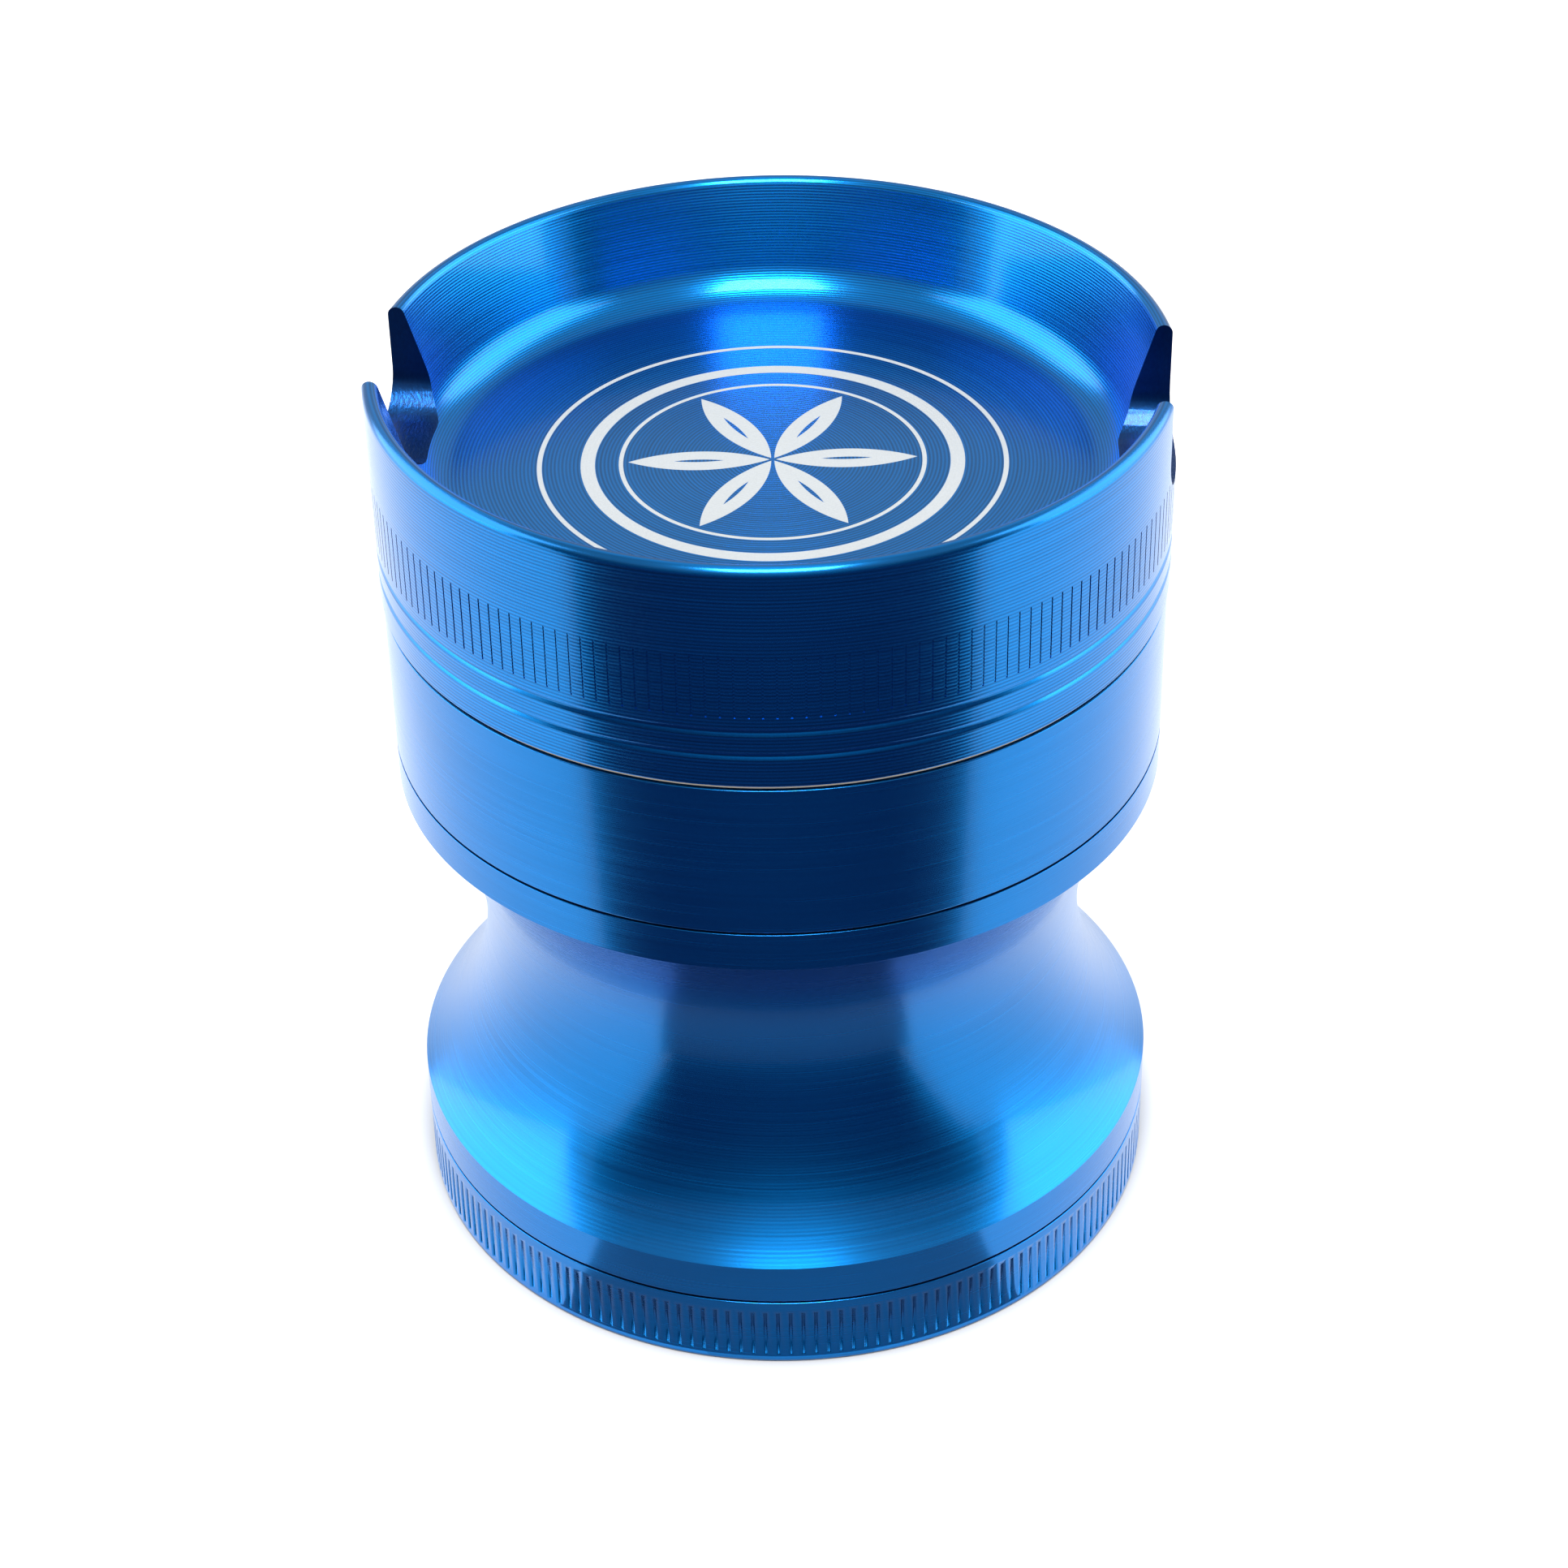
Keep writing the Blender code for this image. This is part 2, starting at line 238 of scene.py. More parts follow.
# %% Choose edges or faces
def choose(piece, kind, wanted):
    """Select only the edges whose ends, or the faces whose middle and normal, pass the test."""
    pick(piece)
    bpy.ops.object.mode_set(mode="EDIT")
    bpy.ops.mesh.select_mode(type=kind)
    bpy.ops.mesh.select_all(action="DESELECT")
    bpy.ops.object.mode_set(mode="OBJECT")
    mesh = piece.data
    if kind == "EDGE":
        for edge in mesh.edges:
            start, end = (mesh.vertices[index].co / MM for index in edge.vertices)
            edge.select = wanted(start, end)
    else:
        for face in mesh.polygons:
            face.select = wanted(face.center / MM, face.normal)
    bpy.ops.object.mode_set(mode="EDIT")


# %% [markdown]
# ## Cutting slots round an edge
#
# The lid and the base carry a ring of fine upright slots for grip. A slotting tool makes them all
# alike, so one face in each facet of the band is inset to the slot's width and pushed inwards.
# This costs five faces a slot, keeps the edges crisp, and shows in the outline where a painted
# line would not.

# %% Slot a band
def slot_band(piece, low, high, width, depth):
    """Inset each facet of the band between two heights to a slot, and sink the slot."""
    radius = max(vert.co.x for vert in piece.data.vertices) / MM

    def in_band(middle, normal):
        outside = math.hypot(middle.x, middle.y) > radius - 0.05
        return outside and low < middle.z < high and abs(normal.z) < 0.01

    choose(piece, "FACE", in_band)
    print(f"{piece.data.total_face_sel} slots on {piece.name}")
    facet = 2.0 * math.pi * radius / FACETS
    bpy.ops.mesh.inset(thickness=(facet - width) / 2.0 * MM, use_individual=True)
    bpy.ops.mesh.extrude_region_move()
    shrink = (radius - depth) / radius
    bpy.ops.transform.resize(value=(shrink, shrink, 1.0), center_override=(0.0, 0.0, 0.0))
    bpy.ops.object.mode_set(mode="OBJECT")


# %% [markdown]
# ## The ashtray lid
#
# The lid is one thick turned piece. From the middle of the bowl its outline runs over the flat
# floor, round a fillet, up a wall that leans outwards, over the rounded rim, down the outside
# past two decorative grooves, and back underneath: a recess that fits over the chamber's lip, the
# grinding face, and a boss with a pocket for the magnet. The band for the grip slots is a row of
# facets between two heights, a little taller than the slots, since insetting will shorten it.

# %% Turn the lid
FLOOR_R, FILLET, DRAFT, RIM = 25.0, 3.5, 16.0, 0.65
BOSS_R, BOSS_LOW, POCKET_R, LID_POCKET_TOP = 5.0, 56.2, 3.3, 58.5
GROOVES, GROOVE_DEPTH = (62.99, 60.92), 0.12
LID_SLOTS, LID_SLOT_WIDTH, LID_SLOT_DEPTH = (64.2, 69.5), 0.15, 0.06

slot_margin = (2.0 * math.pi * LID_R / FACETS - LID_SLOT_WIDTH) / 2.0
lid_corners = [(0.0, BOWL_FLOOR), (FLOOR_R - 0.8, BOWL_FLOOR)]
lid_corners += arc(FLOOR_R, BOWL_FLOOR + FILLET, FILLET, -90.0, -DRAFT, 14)
lid_corners += arc(LID_R - RIM, LID_TOP - RIM, RIM, 180.0 - DRAFT, 0.0, 10)
lid_corners += [(LID_R, LID_TOP - RIM - 0.3), (LID_R, LID_SLOTS[1] + slot_margin),
                (LID_R, LID_SLOTS[0] - slot_margin)]
for height in GROOVES:
    lid_corners += [(LID_R, height + 0.34, 0.04), (LID_R - GROOVE_DEPTH, height + 0.22, 0.08),
                    (LID_R - GROOVE_DEPTH, height - 0.05, 0.08), (LID_R, height - 0.34, 0.06)]
lid_corners += [(LID_R, LID_FOOT, 0.12), (LID_BORE, LID_FOOT, 0.2), (LID_BORE, LID_FACE, 0.3),
                (BOSS_R, LID_FACE, 0.4), (BOSS_R, BOSS_LOW, 0.3), (POCKET_R, BOSS_LOW, 0.15),
                (POCKET_R, LID_POCKET_TOP), (0.0, LID_POCKET_TOP)]
lid = turn("lid", outline(lid_corners))
report(lid)

# %% [markdown]
# The grip slots on the lid are hair lines, far narrower than those on the base. They could be
# painted, but cut slots also break the outline of the wall, and they keep their edges close up.

# %% Slot the lid for grip
slot_band(lid, *LID_SLOTS, LID_SLOT_WIDTH, LID_SLOT_DEPTH)
report(lid)

# %% [markdown]
# ## Milling and drilling
#
# A mill or a drill takes a plain shape out of a turned piece, so it is modelled as that shape and
# a boolean. The boolean carries the cutter's own finish over to the faces that it leaves, so that
# milled faces can look different from turned ones later.

# %% Cut one piece with another
def block(name, size, middle):
    """A cube primitive at its size and place, in millimetres."""
    deselect()
    bpy.ops.mesh.primitive_cube_add(size=MM, location=[value * MM for value in middle], scale=size)
    bpy.context.object.name = bpy.context.object.data.name = name
    bpy.ops.object.transform_apply(location=True, rotation=True, scale=True)
    return bpy.context.object


def cut_away(piece, tool):
    """Take a cutter's shape out of a piece, and remove the cutter."""
    pick(piece)
    step = piece.modifiers.new("cut_away", "BOOLEAN")
    step.operation = "DIFFERENCE"
    step.solver = "EXACT"
    step.material_mode = "TRANSFER"
    step.object = tool
    bpy.ops.object.modifier_apply(modifier=step.name)
    bpy.data.objects.remove(tool, do_unlink=True)


# %% [markdown]
# ## The cigarette rests
#
# The rests are one straight slot milled across the whole rim with a round-cornered cutter. A
# block with its two lower long edges bevelled stands for the cutter's path, and a boolean takes
# it out of the lid. It is done after the turning and the slots, as on the real one.

# %% Mill the cigarette rests
REST_WIDTH, REST_FLOOR, REST_CORNER, REST_TURN = 12.0, 68.1, 3.5, -5.3
CUTTER_LENGTH, CUTTER_HEIGHT = 80.0, 16.0


def is_long_and_low(start, end):
    """True for the cutter's two long edges at its foot."""
    return max(start.z, end.z) < REST_FLOOR + 1.0 and abs(start.x - end.x) > 1.0


lid.data.materials.append(bpy.data.materials.new("turned_face"))
cutter = block("rest_cutter", (CUTTER_LENGTH, REST_WIDTH, CUTTER_HEIGHT),
               (0.0, 0.0, REST_FLOOR + CUTTER_HEIGHT / 2.0))
choose(cutter, "EDGE", is_long_and_low)
bpy.ops.mesh.bevel(offset=REST_CORNER * MM, segments=8)
bpy.ops.mesh.select_all(action="SELECT")
bpy.ops.object.mode_set(mode="OBJECT")
cutter.rotation_euler.z = math.radians(REST_TURN)
cutter.data.materials.append(bpy.data.materials.new("milled_face"))
pick(cutter)
bpy.ops.object.transform_apply(location=True, rotation=True, scale=True)
cut_away(lid, cutter)
print("finishes on the lid:", [slot.name for slot in lid.data.materials])
smooth(lid)
report(lid)

# %% [markdown]
# ## Teeth
#
# Both halves of the grinding space carry diamond-shaped teeth in rings that pass between each
# other. One tooth is modelled from a four-sided cylinder: flattened into a diamond, its upright
# edges bevelled and its tip bevelled too. It is then copied round each ring, and every copy is
# turned about the axis.

# %% Model one tooth
TOOTH_DIAMOND, TOOTH_EDGE, TOOTH_TIP_EDGE = (1.45, 2.2, 1.0), 0.12, 0.25


def tooth(name, radius, low, high, tip_up):
    """One diamond tooth standing at this radius on the X axis."""
    deselect()
    bpy.ops.mesh.primitive_cylinder_add(vertices=4, radius=MM, depth=(high - low) * MM,
                                        location=(radius * MM, 0.0, (low + high) / 2.0 * MM))
    piece = bpy.context.object
    piece.name = piece.data.name = name
    piece.scale = TOOTH_DIAMOND
    bpy.ops.object.transform_apply(location=True, rotation=True, scale=True)
    tip = high if tip_up else low
    choose(piece, "EDGE", lambda a, b: abs(a.z - b.z) > 1.0)
    bpy.ops.mesh.bevel(offset=TOOTH_EDGE * MM, segments=2)
    choose(piece, "FACE", lambda middle, normal: abs(middle.z - tip) < 0.01)
    bpy.ops.mesh.bevel(offset=TOOTH_TIP_EDGE * MM, segments=2)
    bpy.ops.object.mode_set(mode="OBJECT")
    return piece


def ring_of(piece, count, offset):
    """Copies of a piece evenly round the axis, each with a mesh of its own."""
    ring = []
    for index in range(count):
        copy = piece.copy()
        copy.data = piece.data.copy()
        bpy.context.collection.objects.link(copy)
        copy.rotation_euler.z = 2.0 * math.pi * (index + offset) / count
        ring.append(copy)
    bpy.data.objects.remove(piece, do_unlink=True)
    pick(*ring)
    bpy.ops.object.transform_apply(location=True, rotation=True, scale=True)
    return ring


def join(name, pieces):
    """Join pieces into one object."""
    pick(*pieces)
    bpy.ops.object.join()
    bpy.context.object.name = bpy.context.object.data.name = name
    return bpy.context.object


# %% [markdown]
# The lid has three rings of teeth that reach down almost to the chamber's floor. The chamber has
# two rings that stand in the gaps between them, so nothing touches when the lid is turned. Each
# tooth's root is sunk a little into its face.

# %% Cut the teeth
LID_TEETH, LID_TOOTH_TIP = ((24.6, 14), (17.9, 10), (11.2, 6)), 49.0
CHAMBER_TEETH, CHAMBER_TOOTH_TIP = ((21.25, 12), (14.55, 8)), 60.6
SUNK = 0.3

lid_teeth = []
for radius, count in LID_TEETH:
    one = tooth("lid_tooth", radius, LID_TOOTH_TIP, LID_FACE + SUNK, False)
    lid_teeth += ring_of(one, count, 0.5)
lid_teeth = join("lid_teeth", lid_teeth)
smooth(lid_teeth)
chamber_teeth = []
for radius, count in CHAMBER_TEETH:
    one = tooth("chamber_tooth", radius, CHAMBER_FLOOR - SUNK, CHAMBER_TOOTH_TIP, True)
    chamber_teeth += ring_of(one, count, 0.0)
chamber_teeth = join("chamber_teeth", chamber_teeth)
smooth(chamber_teeth)
report(lid_teeth)
report(chamber_teeth)

# %% [markdown]
# ## The grinding chamber
#
# The chamber is turned as one piece too: a post in the middle for the magnet, a floor, a wall
# with the lip that the lid drops over, the outer band, and a threaded skirt underneath.

# %% Turn the chamber
POST_R, POST_ROOT_R, POST_TOP, POST_POCKET_LOW = 5.0, 5.4, 55.8, 51.1
LIP_IN, LIP_OUT = 26.9, 28.9

chamber_corners = [
    (0.0, POST_POCKET_LOW), (POCKET_R, POST_POCKET_LOW), (POCKET_R, POST_TOP, 0.15),
    (POST_R, POST_TOP, 0.3), (POST_ROOT_R, CHAMBER_FLOOR, 0.5), (LIP_IN, CHAMBER_FLOOR, 1.0),
    (LIP_IN, LIP_TOP, 0.2), (LIP_OUT, LIP_TOP, 0.3), (LIP_OUT, SHOULDER, 0.1),
    (CHAMBER_R, SHOULDER, 0.06), (CHAMBER_R, CHAMBER_UNDER, 0.10), (MALE_ROOT, CHAMBER_UNDER, 0.1),
    (MALE_ROOT, CHAMBER_SKIRT_LOW, 0.25), (SKIRT_BORE, CHAMBER_SKIRT_LOW, 0.15),
    (SKIRT_BORE, CHAMBER_UNDER, 0.3), (0.0, CHAMBER_UNDER)]
chamber = turn("chamber", outline(chamber_corners))
report(chamber)

# %% [markdown]
# The ground herb falls through three rings of holes in the chamber's floor. Each hole is a little
# wider at the top. So the drill is a cylinder whose upper face is extruded, widened and extruded
# again, and all its copies are joined and taken out in one boolean, which is much quicker than
# one boolean a hole.

# %% Drill the drop holes
HOLES, HOLE_R = ((24.6, 16), (17.9, 10), (11.2, 6)), 1.8
CHAMFER, CHAMFER_RISE, WIDENED = 0.35, 0.5, 1.2


def drill(radius):
    """A drill standing at this radius on the X axis, wider where it enters the floor."""
    deselect()
    low, high = CHAMBER_UNDER - 1.0, CHAMBER_FLOOR - CHAMFER
    bpy.ops.mesh.primitive_cylinder_add(vertices=28, radius=HOLE_R * MM, depth=(high - low) * MM,
                                        location=(radius * MM, 0.0, (low + high) / 2.0 * MM))
    piece = bpy.context.object
    bpy.ops.object.transform_apply(location=True)
    choose(piece, "FACE", lambda middle, normal: normal.z > 0.9)
    bpy.ops.mesh.extrude_region_move(TRANSFORM_OT_translate={"value": (0.0, 0.0, CHAMFER_RISE * MM)})
    bpy.ops.transform.resize(value=(WIDENED, WIDENED, 1.0), center_override=(radius * MM, 0.0, 0.0))
    bpy.ops.mesh.extrude_region_move(TRANSFORM_OT_translate={"value": (0.0, 0.0, CHAMFER_RISE * MM)})
    bpy.ops.object.mode_set(mode="OBJECT")
    return piece


drills = []
for radius, count in HOLES:
    drills += ring_of(drill(radius), count, 0.5)
cut_away(chamber, join("drills", drills))
smooth(chamber)
report(chamber)

# %% [markdown]
# ## The waisted body
#
# The body is a tube whose outside sweeps in to a narrow neck and out again in one arc. Above and
# below the arc it keeps a short straight band. Its top has a female thread for the chamber, and
# its foot has a skirt with a male thread for the base and a seat for the screen.

# %% Turn the body
NECK_R, FLARE_LOW, FLARE_HIGH, WALL, FOOT_BORE = 25.1, 10.35, 41.15, 3.2, 24.4

waist_middle = (FLARE_LOW + FLARE_HIGH) / 2.0
half_height = (FLARE_HIGH - FLARE_LOW) / 2.0
sweep = BODY_R - NECK_R
waist_arc = (half_height ** 2 + sweep ** 2) / (2.0 * sweep)
arc_centre = NECK_R + waist_arc
spread = math.degrees(math.asin(half_height / waist_arc))
inner_arc = waist_arc + WALL
foot = math.degrees(math.acos((arc_centre - FOOT_BORE) / inner_arc))
shelf = math.degrees(math.asin((BODY_SEAT - waist_middle) / inner_arc))
BODY_FOOT = BASE_TOP + 0.2
body_corners = [(FEMALE_ROOT, BODY_TOP, 0.15), (BODY_R, BODY_TOP, 0.03), (BODY_R, FLARE_HIGH + 0.15)]
body_corners += arc(arc_centre, waist_middle, waist_arc, 180.0 - spread, 180.0 + spread, 44)
body_corners += [(BODY_R, FLARE_LOW - 0.15), (BODY_R, BODY_FOOT, 0.12), (MALE_ROOT, BODY_FOOT, 0.1),
                 (MALE_ROOT, SKIRT_LOW, 0.25), (SKIRT_BORE, SKIRT_LOW, 0.15),
                 (SKIRT_BORE, SCREEN_SEAT, 0.1), (FOOT_BORE, SCREEN_SEAT, 0.1)]
body_corners += arc(arc_centre, waist_middle, inner_arc, 180.0 + foot, 180.0 - shelf, 40)[1:]
body_corners += [(FEMALE_ROOT, BODY_SEAT, 0.2)]
body = turn("body", outline(body_corners), closed=True)
report(body)

# %% [markdown]
# ## The base cup
#
# The base is a shallow cup with a female thread inside its rim and wide grip slots round its
# outside. It is what stands on the table, so its underside is flat.

# %% Turn the base
BASE_SLOTS, BASE_SLOT_WIDTH, BASE_SLOT_DEPTH = (0.58, 5.71), 0.30, 0.10
CUP_R, CUP_FLOOR, CUP_LEDGE = 27.2, 1.5, 2.95

base_corners = [
    (0.0, CUP_FLOOR), (CUP_R, CUP_FLOOR, 1.3), (CUP_R, CUP_LEDGE, 0.1), (FEMALE_ROOT, CUP_LEDGE, 0.2),
    (FEMALE_ROOT, BASE_TOP, 0.2), (BASE_R, BASE_TOP, 0.06), (BASE_R, BASE_SLOTS[1] + 0.1),
    (BASE_R, BASE_SLOTS[0] - 0.1), (BASE_R, TABLE, 0.25), (24.0, TABLE), (0.0, TABLE)]
base = turn("base_cup", outline(base_corners))
slot_band(base, *BASE_SLOTS, BASE_SLOT_WIDTH, BASE_SLOT_DEPTH)
report(base)

# %% [markdown]
# ## Threads
#
# A screw thread is a small ridge wound in a helix, so a four-cornered section is wound with a
# Screw modifier that climbs one and a half millimetres a turn. A cut thread fades out where the
# tool leaves it, and so the ridge's first and last bit sink back into the wall.

# %% Wind the threads
PITCH = 1.507
HALF_FOOT, HALF_CREST, BURIED, FADE = 0.55, 0.14, 0.15, 0.15 * PITCH


def thread(name, root, crest, low, high):
    """A helical ridge between two heights, from just inside the wall at root out to crest."""
    inward = 1.0 if crest > root else -1.0
    buried = root - BURIED * inward
    section = [(buried, low - HALF_FOOT), (crest, low - HALF_CREST),
               (crest, low + HALF_CREST), (buried, low + HALF_FOOT)]
    turns = (high - low) / PITCH
    deselect()
    bpy.ops.mesh.primitive_plane_add(size=MM)
    piece = bpy.context.object
    piece.name = piece.data.name = name
    for vert, point in zip([piece.data.vertices[index] for index in (0, 1, 3, 2)], section):
        vert.co = Vector((point[0] * MM, 0.0, point[1] * MM))
    winding = piece.modifiers.new("winding", "SCREW")
    winding.angle = 2.0 * math.pi * turns
    winding.screw_offset = (high - low) * MM
    winding.steps = winding.render_steps = round(FACETS * turns)
    winding.use_merge_vertices = False
    bpy.ops.object.modifier_apply(modifier=winding.name)
    for vert in piece.data.vertices:
        reach = math.hypot(vert.co.x, vert.co.y) / MM
        if abs(reach - crest) < 0.01:
            height = vert.co.z / MM
            grown = min(1.0, max(0.0, min(height - low, high - height) / FADE))
            shrink = (buried + (crest - buried) * grown) / reach
            vert.co.x *= shrink
            vert.co.y *= shrink
    bpy.ops.object.mode_set(mode="EDIT")
    bpy.ops.mesh.select_all(action="SELECT")
    bpy.ops.mesh.normals_make_consistent(inside=False)
    bpy.ops.object.mode_set(mode="OBJECT")
    smooth(piece)
    return piece


chamber_thread = thread("chamber_thread", MALE_ROOT, MALE_CREST,
                        CHAMBER_SKIRT_LOW + 0.75, CHAMBER_UNDER - 0.9)
body_top_thread = thread("body_top_thread", FEMALE_ROOT, FEMALE_CREST, BODY_SEAT + 0.8, BODY_TOP - 0.8)
body_foot_thread = thread("body_foot_thread", MALE_ROOT, MALE_CREST, SKIRT_LOW + 0.75, BODY_FOOT - 0.85)
base_thread = thread("base_thread", FEMALE_ROOT, FEMALE_CREST, 3.75, BASE_TOP - 0.8)
for piece in (chamber_thread, body_top_thread, body_foot_thread, base_thread):
    report(piece)

# %% [markdown]
# ## Screen, rings and magnets
#
# The pollen screen is woven stainless wire. A woven cloth is two sets of wires that pass over and
# under each other, so each wire is a curve with one point at every crossing, alternately raised
# and lowered. The curves get a round section from their bevel and are turned into a mesh. Four
# sides a wire are plenty at this size.

# %% Weave the screen
WIRE_PITCH, WIRE_R, WAVE, HEM_WIDTH = 0.54, 0.062, 0.058, 0.9
SCREEN_R, SCREEN_LOW, SCREEN_TOP = span("screen")
wires = bpy.data.curves.new("screen_wires", "CURVE")
wires.dimensions = "3D"
wires.bevel_depth = WIRE_R * MM
wires.bevel_resolution = 0
wires.use_fill_caps = True
middle_z = (SCREEN_LOW + SCREEN_TOP) / 2.0
edge_r = SCREEN_R - HEM_WIDTH / 3.0
reach = int(edge_r / WIRE_PITCH)
for row in range(-reach, reach + 1):
    across = row * WIRE_PITCH
    length = math.sqrt(edge_r ** 2 - across ** 2)
    last = int(length / WIRE_PITCH)
    for lengthwise in (True, False):
        wire = wires.splines.new("POLY")
        wire.points.add(2 * last)
        for point, step in zip(wire.points, range(-last, last + 1)):
            over = WAVE if (row + step + lengthwise) % 2 else -WAVE
            along = step * WIRE_PITCH
            x, y = (along, across) if lengthwise else (across, along)
            point.co = (x * MM, y * MM, (middle_z + over) * MM, 1.0)
screen = bpy.data.objects.new("woven_screen", wires)
bpy.context.collection.objects.link(screen)
pick(screen)
bpy.ops.object.convert(target="MESH")
screen = bpy.context.object
report(screen)

# %% [markdown]
# A hem of pressed steel holds the ends of the wires, and a snap ring keeps the screen in its
# seat. The washer under the lid and the two magnets are turned like the rest, with rounded edges,
# from the radii and heights of their CAD nodes.

# %% Turn the rings and magnets
HEM_BORE, RETAINER_BORE = SCREEN_R - HEM_WIDTH, 24.6

_, retainer_low, retainer_top = span("screen_retainer")
hem = turn("screen_hem", outline([(SCREEN_R, SCREEN_TOP, 0.06), (SCREEN_R, SCREEN_LOW, 0.06),
                                  (HEM_BORE, SCREEN_LOW, 0.06), (HEM_BORE, SCREEN_TOP, 0.06)],
                                 steps=2, hold=0.2), closed=True, facets=120)
retainer = turn("retainer", outline([(SCREEN_R, retainer_top, 0.2), (SCREEN_R, retainer_low, 0.2),
                                     (RETAINER_BORE, retainer_low, 0.3),
                                     (RETAINER_BORE, retainer_top, 0.2)]), closed=True)
washer_r, washer_low, washer_top = span("friction_ring")
washer = turn("washer", outline([(washer_r, washer_top, 0.06), (washer_r, washer_low, 0.06),
                                 (LID_BORE, washer_low, 0.06), (LID_BORE, washer_top, 0.06)],
                                steps=2, hold=0.2), closed=True)
magnets = {}
for node in ("chamber_magnet", "lid_magnet"):
    radius, low, top = span(node)
    disc = outline([(0.0, top), (radius, top, 0.25), (radius, low, 0.25), (0.0, low)])
    magnets[node] = turn(node + "_disc", disc, facets=64)
for piece in (hem, retainer, washer, *magnets.values()):
    report(piece)

# %% [markdown]
# ## Shader maths in plain Python
#
# A finish is mostly arithmetic on positions: a groove is a sine of a radius, an engraved ring is
# a test on it. Wiring dozens of Math nodes by hand hides that, so a small class wraps a node's
# output and lets ordinary expressions add the nodes.

# %% Wrap a socket
def feed(slot, value):
    """Link a signal to a socket, or set a plain value on it."""
    if isinstance(value, Signal):
        slot.id_data.links.new(value.socket, slot)
    else:
        slot.default_value = value


class Signal:
    """The output of a node, on which plain arithmetic adds Math nodes."""

    def __init__(self, socket):
        self.socket = socket

    def math(self, operation, *values):
        node = self.socket.id_data.nodes.new("ShaderNodeMath")
        node.operation = operation
        for slot, value in zip(node.inputs, values):
            feed(slot, value)
        return Signal(node.outputs[0])

    def __add__(self, other):
        return self.math("ADD", self, other)

    def __sub__(self, other):
        return self.math("SUBTRACT", self, other)

    def __rsub__(self, other):
        return self.math("SUBTRACT", other, self)

    def __mul__(self, other):
        return self.math("MULTIPLY", self, other)

    __radd__ = __add__
    __rmul__ = __mul__

    def size(self):
        return self.math("ABSOLUTE", self)

    def root(self):
        return self.math("SQRT", self)

    def wave(self):
        return self.math("SINE", self)

    def least(self, other):
        return self.math("MINIMUM", self, other)

    def above(self, edge, blur):
        """1 where the signal is past the edge, 0 before it, with a soft step between."""
        ramp = self.math("DIVIDE", self - (edge - blur / 2.0), blur)
        ramp.socket.node.use_clamp = True
        return ramp


# %% [markdown]
# A second class holds one material. It gives the place on the piece in millimetres, and the
# distance from the axis, which most finishes on turned work depend on. One method adds any other
# node: its type first, then its settings, then what its sockets take.

# %% Hold one material
class Finish:
    """One material: its Principled shader, its Object coordinates in millimetres, and its nodes."""

    def __init__(self, name):
        self.material = bpy.data.materials.new(name)
        self.material.use_nodes = True
        self.tree = self.material.node_tree
        self.shader = self.tree.nodes["Principled BSDF"]
        place = self.node("ShaderNodeTexCoord", output="Object")
        self.place = self.node("ShaderNodeVectorMath", {"operation": "SCALE"},
                               {"Vector": place, "Scale": 1000.0})
        parts = self.tree.nodes.new("ShaderNodeSeparateXYZ")
        feed(parts.inputs["Vector"], self.place)
        self.x, self.y, self.z = (Signal(part) for part in parts.outputs)
        self.r = (self.x * self.x + self.y * self.y).root()

    def node(self, kind, settings=None, inputs=None, output=0):
        """Add a node: settings first, then values or signals for its sockets."""
        made = self.tree.nodes.new(kind)
        for name, value in (settings or {}).items():
            setattr(made, name, value)
        for name, value in (inputs or {}).items():
            feed(made.inputs[name], value)
        return Signal(made.outputs[output])

    def blend(self, amount, first, second):
        """Mix two colours by a signal."""
        return self.node("ShaderNodeMix", {"data_type": "RGBA"}, {0: amount, 6: first, 7: second}, 2)

    def noise(self, place, scale, detail=2.0):
        sockets = {"Vector": place, "Scale": scale, "Detail": detail}
        return self.node("ShaderNodeTexNoise", {}, sockets, "Fac")

    def bump(self, height):
        """A normal raised by a height in millimetres."""
        return self.node("ShaderNodeBump", {}, {"Strength": 1.0, "Distance": MM, "Height": height})

    def vector(self, x, y, z):
        return self.node("ShaderNodeCombineXYZ", {}, {"X": x, "Y": y, "Z": z})

    def set(self, **sockets):
        """Set or link the shader's own sockets."""
        for name, value in sockets.items():
            feed(self.shader.inputs[name.replace("_", " ")], value)

    def give(self, *pieces):
        for piece in pieces:
            piece.data.materials.clear()
            piece.data.materials.append(self.material)


# %% [markdown]
# ## Blue anodised aluminium
#
# Anodising leaves the metal's own mirror and lathe marks, under a thin clear layer of dyed oxide.
# So the shader is a metal with a deep blue tint and a thin clear coat, not a blue paint. The
# lathe marks are three things at three scales. Fine random streaks run round the axis. Regular
# grooves follow the feed of the tool. And because both run the same way, the whole reflection is
# stretched across them, which a constant anisotropy gives. The streaks come from a noise that is
# read slowly along x and y and very quickly along height and radius. The grooves are also painted
# into the colour, as painted shade of their relief: lighter crests and darker troughs, since the
# finest of them are too close together for a bump alone to show. On the waisted body the radius
# counts for less than the height, so that the lines don't crowd together where it flares.

# %% Make the anodised finish
BLUE = (0.002, 0.150, 0.450)
COAT = 0.22


